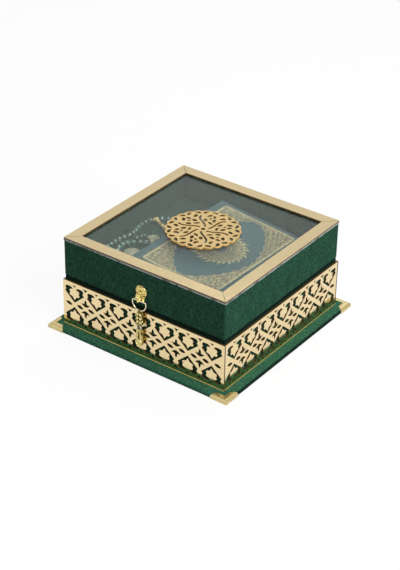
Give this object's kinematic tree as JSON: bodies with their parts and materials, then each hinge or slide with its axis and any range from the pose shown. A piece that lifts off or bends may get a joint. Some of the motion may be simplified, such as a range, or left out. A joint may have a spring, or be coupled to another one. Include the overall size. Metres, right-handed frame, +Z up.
{
  "type": "quran box",
  "caption": "Green velvet gift box for a holy book, with a pierced gold lattice, metal corners, a hinged lid with a framed clear top and medallion, a ring pull with a charm, and prayer beads",
  "frame": {"origin": "middle of the underside of the base, on the surface the box stands on", "axes": "+Z up, -Y to the front where the pull hangs, +Y to the hinges, +X to the right seen from the front"},
  "size_m": [0.25, 0.25, 0.1161],
  "materials": {
    "green_velvet": "short pile, deep green",
    "felt": "pressed felt",
    "board": "bare fibreboard",
    "gold_acrylic": "gold mirror sheet with brown cut edges",
    "gold_metal": "cast, gold plated",
    "brass_plate": "pressed sheet, worn sheen",
    "clear_sheet": "clear, polished",
    "crystal": "cut crystal",
    "book_cover": "blue grey with gilt ornament",
    "pages": "cream",
    "pearl_green": "pearl lustre",
    "cord_green": "twisted",
    "tassel_thread": "pale silk"
  },
  "bodies": {
    "case": {"base_felt": "felt", "base_board": "board", "base_velvet": "green_velvet", "corner_front_left": "brass_plate", "corner_front_right": "brass_plate", "corner_back_left": "brass_plate", "corner_back_right": "brass_plate", "tray_wall_front": "board", "tray_wall_back": "board", "tray_wall_left": "board", "tray_wall_right": "board", "tray_velvet": "green_velvet", "lattice_front": "gold_acrylic", "lattice_back": "gold_acrylic", "lattice_left": "gold_acrylic", "lattice_right": "gold_acrylic", "lattice_foot": "gold_acrylic", "platform_rails": "board", "platform_board": "board", "platform_velvet": "green_velvet", "hinge_leaf_lower_left": "brass_plate", "hinge_leaf_lower_right": "brass_plate", "hinge_pins": "brass_plate", "hinge_screws_lower": "brass_plate", "book_back_cover": "book_cover", "book_pages": "pages", "book_spine": "book_cover", "book_front_cover": "book_cover", "prayer_beads": "pearl_green", "prayer_bead_cord": "cord_green", "prayer_bead_collar": "gold_metal", "tassel_caps": "gold_metal", "tassel_threads": "tassel_thread"},
    "lid": {"lid_wall_front": "board", "lid_wall_back": "board", "lid_wall_left": "board", "lid_wall_right": "board", "lid_velvet": "green_velvet", "lid_pane": "clear_sheet", "frame_front": "gold_acrylic", "frame_back": "gold_acrylic", "frame_left": "gold_acrylic", "frame_right": "gold_acrylic", "medallion": "gold_acrylic", "hinge_leaf_upper_left": "brass_plate", "hinge_leaf_upper_right": "brass_plate", "hinge_screws_upper": "brass_plate", "pull_rosette": "gold_metal", "pull_screw": "brass_plate", "pull_washer": "brass_plate"},
    "pull_ring": {"pull_ring": "gold_metal"},
    "charm": {"charm_cap": "gold_metal", "charm_crystal": "crystal", "charm_drop": "gold_metal"}
  },
  "joints": [
    {"name": "lid_hinge", "type": "hinge", "parent": "case", "child": "lid", "pos_m": [0, 0.1124, 0.06785], "axis": [-1, 0, 0], "range_deg": [0, 100]},
    {"name": "ring_swing", "type": "hinge", "parent": "lid", "child": "pull_ring", "pos_m": [0, -0.115, 0.078], "axis": [-1, 0, 0], "range_deg": [0, 100]},
    {"name": "charm_swing", "type": "hinge", "parent": "pull_ring", "child": "charm", "pos_m": [0, -0.115, 0.0658], "axis": [-1, 0, 0], "range_deg": [0, 80]}
  ]
}
